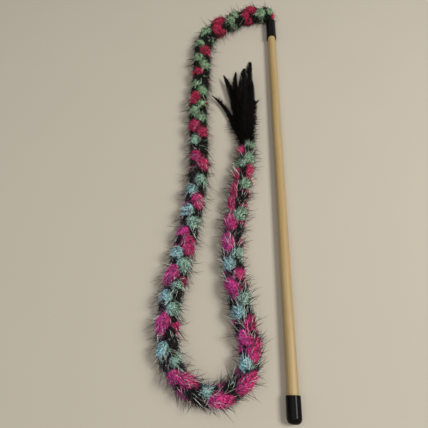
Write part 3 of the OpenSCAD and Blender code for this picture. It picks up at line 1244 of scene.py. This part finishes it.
def lure_place():
    """Where the rope ends, and its heading, side and up there."""
    points = route_points()
    heading = points[-1] - points[-2]
    heading[2] = 0
    heading = unit(heading)
    side = np.cross(heading, (0, 0, 1))
    return points[-2], heading, side, np.array((0.0, 0.0, 1.0))


def quill_place(i):
    """Side and height of a quill in the binding."""
    reach = BINDING_D / 2 - BINDING_WALL - QUILL_D / 2
    up = (i - (len(FEATHERS) - 1) / 2) * 2 * reach / (len(FEATHERS) - 1)
    hand = -1 if i % 2 == 0 else 1
    return hand * HOLE_SPREAD * math.sqrt(max(0.0, reach * reach - up * up)), up


def shaft_curve(i, u):
    """Points of a feather's shaft, for u from 0 at the binding's face to 1 at its tip."""
    share, swing, bow, _ = FEATHERS[i]
    length = FEATHER_LEN * share
    side_at, up_at = quill_place(i)
    peak = BOW_POWER / (BOW_POWER + 1)
    bowed = (u / peak) ** BOW_POWER * (1 - u) / (1 - peak)
    reach = length * math.sqrt(1 - swing * swing) * u
    rise = FAN_RISE * i / (len(FEATHERS) - 1)
    across = side_at + length * (swing * u**SWING_POWER + bow * bowed)
    forward = BINDING_LEN + reach
    height = up_at + rise * (reach / FEATHER_LEN) ** RISE_POWER
    origin, heading, side, up = lure_place()
    return (
        origin
        + across[:, None] * side
        + forward[:, None] * heading
        + height[:, None] * up
    )


def vane_share(t, tip_power):
    """Width of a vane along it, from 0 at its root to 1 at its fullest."""
    peak = ROOT_POWER / (ROOT_POWER + tip_power)
    return (t / peak) ** ROOT_POWER * ((1 - t) / (1 - peak)) ** tip_power


# The shaft starts this far inside the binding
SHAFT_RINGS = 40
SHAFT_SIDES = 6
SHAFT_SINK = 0.006
# Its radius at the tip, and how much more it has at the root, as shares of the quill's
SHAFT_TIP = 0.12
SHAFT_TAPER = 0.78
TAPER_POWER = 0.8
FEATHER_SEED = 5
# How far a vane may be rolled about its shaft, to either side, in radians
VANE_ROLL = 0.35
# The barbs' roots lie between these shares of the vane, and stray by a share of their gap
BARBS_FROM = 0.01
BARBS_TO = 0.985
BARB_STRAY = 0.3
# The angle between barb and shaft in degrees, at the vane's root, less towards its tip
BARB_ANGLE = 50
ANGLE_FALL = 26
ANGLE_SPREAD = 2.5
# Lengths as shares of the way to the vane's outline. That way is found by tries, each of
# which goes one part of the rest, and a barb may not aim past the outline's end
BARB_LEAST = 0.86
BARB_MOST = 1.12
OUTLINE_TRIES = 12
OUTLINE_PARTS = 3
OUTLINE_END = 0.999
# How the barbs rise out of the vane's plane, and bend towards its tip, by their length
BARB_RISE = 0.06
RISE_SPREAD = 0.05
BARB_BEND = 0.22
# Barbs part from each other in a few places along each edge: they turn away by up to this
# many degrees and are shorter
PARTINGS = 3
PART_FROM = 0.25
PART_TO = 0.6
PART_WIDTH = 0.018
PART_TURN = 9
PART_SHORTER = 0.25
# Feathers, counted from 0, that keep a broad tip, by the power of its outline
BROAD_TIPS = {5: 0.46, 6: 0.5}
# Vanes that are wider on one side: shares of the width on the left and on the right
LOPSIDED = {5: (1.3, 0.8), 6: (1.1, 1.35), 8: (1.1, 0.7)}
# Kinds of loose barbs: least and most angle from the shaft in degrees, shortest and longest,
# and how far they stray from that
DOWN = ((25, 70), (0.006, 0.012), 0.35)
EDGE_FUZZ = ((20, 50), (0.004, 0.008), 0.35)
CLUMP = ((26, 46), (0.005, 0.0105), 0.15)
# Down grows at the foot of a feather, on its left, -1, and on its right, 1. It stands more
# and more backward towards the binding, by up to this many degrees
DOWN_BARBS = {-1: 60, 1: 90}
DOWN_FROM = 0.02
DOWN_REACH = 0.032
DOWN_BACK = 75
# Feathers that are fuzzy along their right edge, from one share of their length to another
FUZZY = {0: (0.25, 0.9)}
FUZZ_BARBS = 220
# Feathers that have clumps of barbs standing off that edge, and where along their length
CLUMPS = {4: (0.10, 0.36, 0.86), 8: (0.05, 0.24, 0.42)}
CLUMP_BARBS = 30
CLUMP_REACH = 0.02


def sampled(curves, at):
    """The place, heading and right of a shaft at some shares of its length."""
    u = np.linspace(0, 1, SHAFT_RINGS)
    return [at_places(at, u, curve[1:]) for curve in curves]


def aimed(open_angle, hand, ahead, right, rise, above):
    """Directions that open from the shaft to one hand and rise out of the vane's plane."""
    return (
        np.cos(open_angle)[:, None] * ahead
        + hand * np.sin(open_angle)[:, None] * right
        + rise[:, None] * above
    )


def note(rows, rng, place, aim, above, span, bend):
    """Adds the roots of some barbs to the rows."""
    rows["place"].append(place)
    rows["aim"].append(unit(aim))
    rows["flat"].append(unit(np.cross(above, aim)))
    rows["hair_len"].append(span)
    rows["bend"].append(bend)
    rows["tone"].append(rng.uniform(0, 1, len(span)))


def loose_barbs(rows, curves, hand, at, kind, rng, back=0):
    """Adds barbs that stand off the vane, and stray up, down and sideways."""
    angles, lengths, stray = kind
    count = len(at)
    open_angle = np.radians(rng.uniform(*angles, count) + back)
    span = rng.uniform(*lengths, count)
    place, ahead, right = sampled(curves, at)
    above = np.cross(right, ahead)
    aim = aimed(open_angle, hand, ahead, right, rng.normal(0.0, stray, count), above)
    bend = rng.uniform(-stray, stray, (count, 3)) * span[:, None]
    note(rows, rng, place, aim, above, span, bend)


def vane_barbs(rows, curves, i, hand, count, roll, rng):
    """Adds the barbs of one side of a feather's vane."""
    share, _, _, width = FEATHERS[i]
    length = FEATHER_LEN * share
    full_width = VANE_W * width * LOPSIDED.get(i, (1.0, 1.0))[hand > 0]
    partings = rng.uniform(PART_FROM, PART_TO, PARTINGS)
    t = np.linspace(BARBS_FROM, BARBS_TO, count)
    t = t + rng.uniform(-BARB_STRAY, BARB_STRAY, count) / count
    root = QUILL_BARE / length
    place, ahead, right = sampled(curves, root + (1 - root) * t)
    above = np.cross(right, ahead)
    right = right * math.cos(roll) + above * math.sin(roll)
    above = np.cross(right, ahead)
    open_angle = np.radians(BARB_ANGLE - ANGLE_FALL * t + rng.normal(0, ANGLE_SPREAD, count))
    # A barb ends on the vane's outline, which it meets further on than its root
    half = np.zeros(count)
    for _ in range(OUTLINE_TRIES):
        met = t + half / np.tan(open_angle) / (length - QUILL_BARE)
        met = np.clip(met, 0.0, OUTLINE_END)
        full = full_width * vane_share(met, BROAD_TIPS.get(i, TIP_POWER)) / 2
        half += (full - half) / OUTLINE_PARTS
    span = half / np.sin(open_angle) * rng.uniform(BARB_LEAST, BARB_MOST, count)
    for parting in partings:
        close = np.exp(-(((t - parting) / PART_WIDTH) ** 2))
        open_angle += close * np.radians(PART_TURN)
        span *= 1 - PART_SHORTER * close
    rise = rng.normal(BARB_RISE, RISE_SPREAD, count)
    aim = aimed(open_angle, hand, ahead, right, rise, above)
    note(rows, rng, place, aim, above, span, ahead * (span * BARB_BEND)[:, None])


def feather_mesh(i, barbs, rng):
    """A feather's shaft as a thin tube, and the roots of its barbs as loose points."""
    share = FEATHERS[i][0]
    u = np.linspace(0, 1, SHAFT_RINGS)
    centre = shaft_curve(i, u)
    start = centre[0] - SHAFT_SINK * lure_place()[1]
    centre = np.vstack([start, centre])
    heading, side, up = frames_along(centre)
    taper = SHAFT_TIP + SHAFT_TAPER * (1 - np.concatenate([[0], u])) ** TAPER_POWER
    shaft = centre[:, None] + (QUILL_D / 2 * taper)[:, None, None] * spokes(side, up, SHAFT_SIDES)
    shaft = shaft.reshape(-1, 3)

    curves = (centre, heading, side)
    rows = {name: [] for name in ("place", "aim", "flat", "bend", "hair_len", "tone")}
    roll = rng.uniform(-VANE_ROLL, VANE_ROLL)
    for hand in (-1, 1):
        vane_barbs(rows, curves, i, hand, int(barbs * share), roll, rng)
        down = rng.uniform(DOWN_FROM, 1, DOWN_BARBS[hand])
        at = down * DOWN_REACH / (FEATHER_LEN * share)
        loose_barbs(rows, curves, hand, at, DOWN, rng, DOWN_BACK * (1 - down) ** 3)
    if i in FUZZY:
        at = rng.uniform(*FUZZY[i], FUZZ_BARBS)
        loose_barbs(rows, curves, 1, at, EDGE_FUZZ, rng)
    for middle in CLUMPS.get(i, ()):
        at = middle + rng.uniform(-CLUMP_REACH, CLUMP_REACH, CLUMP_BARBS)
        loose_barbs(rows, curves, 1, at, CLUMP, rng)
    roots = {name: np.concatenate(values) for name, values in rows.items()}
    place = roots.pop("place")
    faces = tube_faces(len(centre), SHAFT_SIDES)
    mesh = make_mesh(f"hackle_{i + 1:02d}", np.vstack([shaft, place]), faces)
    # The shaft's own points grow nothing
    for name, values in roots.items():
        none = np.zeros((len(shaft), *values.shape[1:]))
        store(mesh, {name: np.concatenate([none, values])})
    return mesh


# Loose down that lies back over the binding and the rope's end: a row as for the rope's
# fibres, how many to a square metre, and where along the binding it starts
FLUFF = (
    ("binding_fluff", "grows_fluff", 1.0, 0.004, 0.008, 0.0007, 0.35, 1.0, 0.5, 0.3, 0.0),
)
FLUFF_DENSITY = 1.3e6
FLUFF_FROM = 0.2
FLUFF_SEED = 71
SLEEVE_RINGS = 8
SLEEVE_SIDES = 24


def binding_sleeve():
    """A bare tube round the binding, on which its fluff grows."""
    origin, heading, side, up = lure_place()
    share = np.linspace(0, 1, SLEEVE_RINGS)
    path = origin + BINDING_LEN * share[:, None] * heading
    points = path[:, None] + BINDING_D / 2 * spokes(side[None], up[None], SLEEVE_SIDES)
    points = points.reshape(-1, 3)
    mesh = make_mesh("binding_fluff", points, tube_faces(SLEEVE_RINGS, SLEEVE_SIDES))
    cover = ease(np.repeat(share, SLEEVE_SIDES), FLUFF_FROM, 1)
    store(mesh, {"along": np.broadcast_to(-heading, points.shape), "grows_fluff": cover})
    return mesh


class TEASER_OT_feathers(bpy.types.Operator):
    """Make the ten cock hackles, each a shaft with its barbs, and the fluff at their feet"""

    bl_idname = "teaser.feathers"
    bl_label = "Feathers"

    def execute(self, context):
        sizes = context.scene.teaser_feathers
        black = hackle_material(sizes)
        tree = shared_tree("feather_barbs", vane_tree)
        values = {"Width": sizes.barb_w, "Thickness": sizes.barb_t, "Material": black}
        rng = np.random.default_rng(FEATHER_SEED)
        for i in range(len(FEATHERS)):
            mesh = feather_mesh(i, sizes.barbs, rng)
            settle(grow(mesh.name, mesh, tree, values), "feather", f"feather_{i + 1:02d}")
        sleeve = binding_sleeve()
        grow_fibres(
            FLUFF, sleeve, [black], FLUFF_DENSITY, FLUFF_SEED, segments=3, slot="feather"
        )
        return {"FINISHED"}


class TEASER_OT_binding(bpy.types.Operator):
    """Wind the thread that binds the quills into the rope's end"""

    bl_idname = "teaser.binding"
    bl_label = "Binding"

    def execute(self, context):
        sizes = context.scene.teaser_feathers
        tree = shared_tree("thread_whipping", whipping_tree)
        empty = bpy.data.meshes.new("binding_start")
        values = {
            "Radius": BINDING_D / 2,
            "Length": BINDING_LEN,
            "Thread": sizes.thread_d,
            "Material": thread_material(sizes),
        }
        piece = grow("binding_thread", empty, tree, values)
        origin, heading, side, up = lure_place()
        turn = np.eye(4)
        turn[:3] = np.column_stack([side, -up, heading, origin])
        piece.data.transform(Matrix(turn.tolist()))
        settle(piece, "binding_thread", "quill_binding")
        return {"FINISHED"}


# The knot's coil: its turns, the thickness and the sides of its yarn, and points to a turn
KNOT_TURNS = 3
KNOT_YARN_D = 0.0026
KNOT_SIDES = 10
KNOT_STEPS = 28
# A short neck goes through the hole, and then the yarn winds back on itself. The coil opens
# to its full width over the first share of its length
NECK_LEN = 0.0018
COIL_OPENS = 1 / 12
# Nearly the rod's axis, and nowhere the yarn's own direction
KNOT_AXIS = (0.02, 1, 0.03)


class TEASER_OT_knot(bpy.types.Operator):
    """Wind the rope's gathered end behind the hole in the tip cap"""

    bl_idname = "teaser.knot"
    bl_label = "Knot"

    def execute(self, context):
        yarn = bpy.data.materials["brushed_striped_yarn"]
        low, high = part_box("tail_knot")
        yarn_r = KNOT_YARN_D / 2
        t = np.linspace(0, 1, KNOT_TURNS * KNOT_STEPS)
        turn = 2 * math.pi * KNOT_TURNS * t
        coil_r = ((high.x - low.x) / 2 - yarn_r) * ease(t / COIL_OPENS)
        front = high.y - NECK_LEN - yarn_r
        back = low.y + yarn_r
        coil = [coil_r * np.cos(turn), front + (back - front) * t, WAND_Z + coil_r * np.sin(turn)]
        neck = [(0, high.y, WAND_Z), (0, high.y - NECK_LEN / 2, WAND_Z)]
        path = np.vstack([neck, np.column_stack(coil)])
        _, side, up = frames_along(path, KNOT_AXIS)
        points = path[:, None] + yarn_r * spokes(side, up, KNOT_SIDES)
        faces = tube_faces(len(path), KNOT_SIDES)
        mesh = make_mesh("knot_yarn", points.reshape(-1, 3), faces, yarn)
        settle(new_object("knot_yarn", mesh), "rope_yarn", "tail_knot")
        return {"FINISHED"}


def dress(node, material):
    """Gives a CAD node that stays in view its material."""
    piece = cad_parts[node]
    for slot in piece.material_slots:
        slot.material = material


class TEASER_OT_rod(bpy.types.Operator):
    """Finish the rod in sanded wood"""

    bl_idname = "teaser.rod"
    bl_label = "Rod"

    def execute(self, context):
        dress("rod", wood_material(context.scene.teaser_wand))
        return {"FINISHED"}


class TEASER_OT_caps(bpy.types.Operator):
    """Finish both caps in glossy vinyl"""

    bl_idname = "teaser.caps"
    bl_label = "Caps"

    def execute(self, context):
        vinyl = vinyl_material(context.scene.teaser_wand)
        dress("grip_cap", vinyl)
        dress("tip_cap", vinyl)
        return {"FINISHED"}


class TEASER_OT_declare(bpy.types.Operator):
    """A step that does nothing"""

    bl_idname = "teaser.declare"
    bl_label = "Declare the rope"

    def execute(self, context):
        return {"FINISHED"}


class TEASER_PT_panel(bpy.types.Panel):
    """Sizes, colours and steps of the cat teaser wand"""

    bl_idname = "TEASER_PT_panel"
    bl_label = "Cat Teaser Wand"
    bl_space_type = "VIEW_3D"
    bl_region_type = "UI"
    bl_category = "Teaser"

    def draw(self, context):
        layout = self.layout
        for name in GROUPS:
            box = layout.box()
            settings = getattr(context.scene, name)
            for key in settings.__annotations__:
                box.prop(settings, key)
        for step in STEPS:
            layout.operator(step.bl_idname)


GROUPS = {
    "teaser_stage": TeaserStage,
    "teaser_rope": TeaserRope,
    "teaser_feathers": TeaserFeathers,
    "teaser_wand": TeaserWand,
}
STEPS = (
    TEASER_OT_stage,
    TEASER_OT_rope,
    TEASER_OT_fibres,
    TEASER_OT_knot,
    TEASER_OT_binding,
    TEASER_OT_feathers,
    TEASER_OT_rod,
    TEASER_OT_caps,
    TEASER_OT_declare,
)


def register():
    """Adds the classes, and each group of settings to the scene."""
    for group in (*GROUPS.values(), *STEPS, TEASER_PT_panel):
        bpy.utils.register_class(group)
    for name, group in GROUPS.items():
        setattr(bpy.types.Scene, name, bpy.props.PointerProperty(type=group))


def unregister():
    """Takes away what register added."""
    for name in GROUPS:
        delattr(bpy.types.Scene, name)
    for group in (TEASER_PT_panel, *STEPS, *GROUPS.values()):
        bpy.utils.unregister_class(group)


def main():
    """Makes every piece in order."""
    register()
    bpy.ops.teaser.stage()
    bpy.ops.teaser.rope()
    bpy.ops.teaser.fibres()
    bpy.ops.teaser.knot()
    bpy.ops.teaser.binding()
    bpy.ops.teaser.feathers()
    bpy.ops.teaser.rod()
    bpy.ops.teaser.caps()
    bpy.ops.teaser.declare()


if __name__ == "__main__":
    main()
